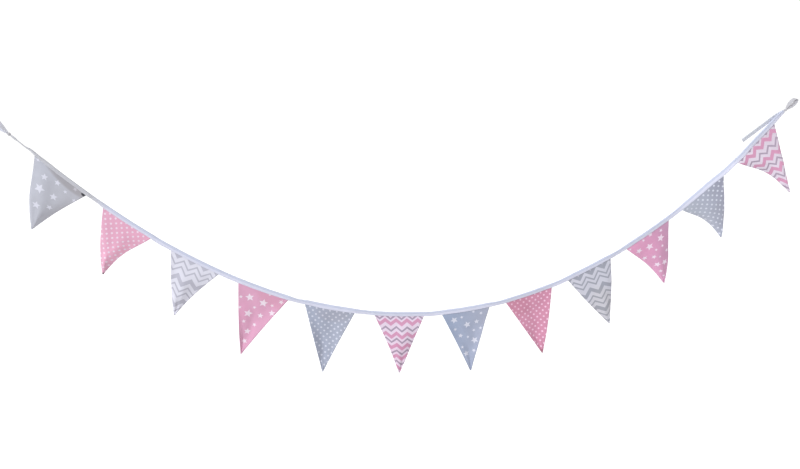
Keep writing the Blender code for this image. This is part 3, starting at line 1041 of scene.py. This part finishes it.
def loop_frame(loop):
    direction, turned = math.radians(loop[3]), math.radians(loop[7])
    along = Vector((math.cos(direction), 0.0, math.sin(direction)))
    upright = Vector((-along.z, 0.0, along.x))
    side = upright * math.cos(turned) - BACK * math.sin(turned)
    wide = BACK * math.cos(turned) + upright * math.sin(turned)
    return tape_frame(loop[2])[0], along, side, wide


def loop_line(loop, angle):
    start, along, side, _ = loop_frame(loop)
    neck = loop[6]
    fullest_at = (neck + 1.0) / (neck + 2.0)
    fullest = 2.0 * fullest_at ** ((neck + 1.0) / 2.0) * (1.0 - fullest_at) ** 0.5
    reach = KNOT_HALF[0] + LOOP_CLEAR + loop[4] * (math.cos(LOOP_START) - math.cos(angle)) / 2.0
    spread = loop[5] / 2.0 * math.sin(angle) * math.sin(angle / 2.0) ** neck / fullest
    spread = spread + LOOP_PRESSED * math.cos(angle / 2.0)
    return start + along * reach + side * spread


def make_loop(loop):
    wide = loop_frame(loop)[3]

    def place(share, around_share):
        angle = LOOP_START + (2.0 * math.pi - 2.0 * LOOP_START) * share
        opened = math.sin(angle / 2.0) ** 2
        ahead = (loop_line(loop, angle + LOOP_STEP) - loop_line(loop, angle - LOOP_STEP)).normalized()
        thick = ahead.cross(wide)
        half = LOOP_TAPE / 2.0 * (PINCHED + (1.0 - PINCHED) * smooth_step(opened * 2.0))
        depth, height = folded_section(half, (LOOP_THICK - LOOP_SKIN) / 2.0, around_share * 2.0 - 1.0)
        return loop_line(loop, angle) + thick * depth - wide * height

    def flat(share, around_share):
        return (around_share - 0.5) * 2.0 * LOOP_TAPE, share * loop[4] * LOOP_WEAVE

    made = lay_sheet(loop[0] + "_tape", LOOP_CELLS, place, flat, LOOP_SKIN, LOOP_CLOTHS[loop[0]])
    settle(made, "tape", loop[0])
    return made


loops = [make_loop(loop) for loop in LOOPS]
print("loops", [piece.name for piece in loops])

# %% [markdown]
# ## The knots
# The knot is a firm lump of tape. A ball gives its mass, and two bands of tape are wound round it
# across each other, each a closed ring of grid bent over the ball.

# %% The knots
BAND_HALF = 0.42
BAND_SKIN = 0.0007
BAND_TILTS = (38.0, -46.0)
BALL_SHARE = 0.93
BAND_EDGE = 0.985
BAND_SWELL = 0.035
BAND_ROUND = 1.4
MERGED = 0.00001


def ball_reach(direction):
    parts = [value / half for value, half in zip(direction, KNOT_HALF)]
    return 1.0 / math.sqrt(sum(value * value for value in parts))


def make_knot(loop):
    start, along, side, wide = loop_frame(loop)
    frame_of_knot = Matrix((along, wide, side)).transposed()
    lump = bmesh.new()
    bmesh.ops.create_icosphere(lump, subdivisions=4, radius=1.0)
    for vert in lump.verts:
        direction = vert.co.normalized()
        vert.co = direction * ball_reach(direction) * BALL_SHARE
    for tilt in BAND_TILTS:
        band = bmesh.new()
        bmesh.ops.create_grid(band, x_segments=48, y_segments=6, size=1.0)
        lean = Matrix.Rotation(math.radians(tilt), 3, "Y")
        for vert in band.verts:
            angle = (vert.co.x + 1.0) * math.pi
            ring = Vector((vert.co.y * BAND_HALF, math.cos(angle), math.sin(angle))).normalized()
            direction = lean @ ring
            swell = BAND_EDGE + BAND_SWELL * math.cos(vert.co.y * BAND_ROUND)
            vert.co = direction * (ball_reach(direction) * swell - BAND_SKIN * 0.5)
        bmesh.ops.remove_doubles(band, verts=band.verts, dist=MERGED)
        bmesh.ops.recalc_face_normals(band, faces=band.faces)
        bmesh.ops.solidify(band, geom=band.faces[:], thickness=BAND_SKIN)
        part = bpy.data.meshes.new("band")
        band.to_mesh(part)
        band.free()
        lump.from_mesh(part)
        bpy.data.meshes.remove(part)
    for vert in lump.verts:
        vert.co = start + frame_of_knot @ vert.co
    bmesh.ops.recalc_face_normals(lump, faces=lump.faces)
    lump.loops.layers.uv.new("flat")
    mesh = bpy.data.meshes.new(loop[1] + "_tape")
    lump.to_mesh(mesh)
    lump.free()
    mesh.shade_smooth()
    # The knot's grey cloth is painted shade.
    mesh.materials.append(PAINTED_SHADE_GREY_CLOTH)
    made = bpy.data.objects.new(mesh.name, mesh)
    bpy.context.scene.collection.objects.link(made)
    settle(made, "tape", loop[1])
    return made


knots = [make_knot(loop) for loop in LOOPS]
print("knots", [len(piece.data.polygons) for piece in knots])

# %% [markdown]
# ## The free end
# What is left of the tape comes back out of the right knot. It leaves it behind the string,
# tips forward a little and rises above it, and its end is cut square.

# %% The free end
TAIL_LENGTH = 0.1395
TAIL_THICK = 0.002
TAIL_START = 0.003
TAIL_BEHIND = 0.0050
TAIL_STANDS_OFF = 0.0018
TAIL_OFF_BY = 0.14
TAIL_RISE_START = -0.003
TAIL_RISE_END = 0.0275
TAIL_ARCH = 0.85
TAIL_OPENS_BY = 0.30
TAIL_TURN = -20.0
TAIL_TURN_FROM = 0.03
TAIL_TURN_TO = 0.27
TAIL_CELLS = (110, 16)
TAIL_SKIN = 0.0008


def tail_place(share, around_share):
    point, _, up = middle_line(RIGHT_END - TAIL_START - TAIL_LENGTH * share)
    rise = TAIL_RISE_START + (TAIL_RISE_END - TAIL_RISE_START) * share ** TAIL_ARCH
    turned = smooth_step((share - TAIL_TURN_FROM) / (TAIL_TURN_TO - TAIL_TURN_FROM))
    angle = math.radians(TAIL_TURN) * turned
    wide = up * math.cos(angle) + BACK * math.sin(angle)
    thick = BACK * math.cos(angle) - up * math.sin(angle)
    half = TAPE_WIDTH / 2.0 * (PINCHED + (1.0 - PINCHED) * smooth_step(share / TAIL_OPENS_BY))
    depth, height = folded_section(half, (TAIL_THICK - TAIL_SKIN) / 2.0, around_share * 2.0 - 1.0)
    behind = TAIL_BEHIND + TAIL_STANDS_OFF * smooth_step(share / TAIL_OFF_BY)
    return point + up * rise + BACK * behind + thick * depth + wide * height


def tail_flat(share, around_share):
    return (around_share - 0.5) * 2.0 * TAPE_WIDTH, RIGHT_END + share * TAIL_LENGTH


tail = lay_sheet("right_tail_tape", TAIL_CELLS, tail_place, tail_flat, TAIL_SKIN, FREE_END_CLOTH)
settle(tail, "tape", "right_tail")
print("free end", TAIL_LENGTH, "m long")

# %% [markdown]
# ## Sheet count
# The sheets laid here are counted. A pennant's cut area is that of its triangle and of the strip
# inside the tape.

# %% Sheet count
print("sheets declared", len(pennants) + 4)
